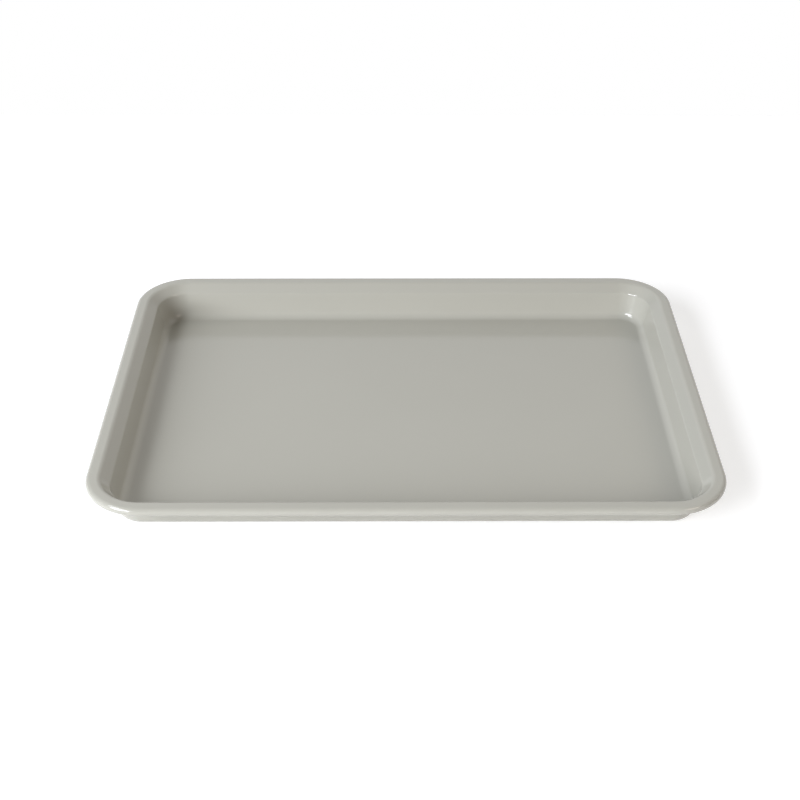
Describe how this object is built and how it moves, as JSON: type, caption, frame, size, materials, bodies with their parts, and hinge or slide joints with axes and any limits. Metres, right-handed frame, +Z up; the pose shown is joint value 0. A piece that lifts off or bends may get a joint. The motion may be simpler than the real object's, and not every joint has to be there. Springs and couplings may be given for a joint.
{
  "type": "rimmed baking sheet",
  "caption": "Rectangular rimmed baking sheet: a shallow drawn steel tray with a smooth glossy coat, rounded corners, sloped shoulder and a flat flange rolled round a stiffening wire.",
  "frame": {"origin": "middle of the flat underside of the floor, on the surface that the sheet stands on", "axes": "+X along the longer side, +Y along the shorter side, +Z up out of the open tray"},
  "size_m": [0.457, 0.33, 0.0295],
  "materials": {
    "coat": "smooth glossy ceramic-type coat, warm grey, on both faces of the steel",
    "wire": "bare drawn steel wire, dull"
  },
  "bodies": {
    "root": {"pan_body": "coat", "rim_wire": "wire"}
  },
  "joints": []
}
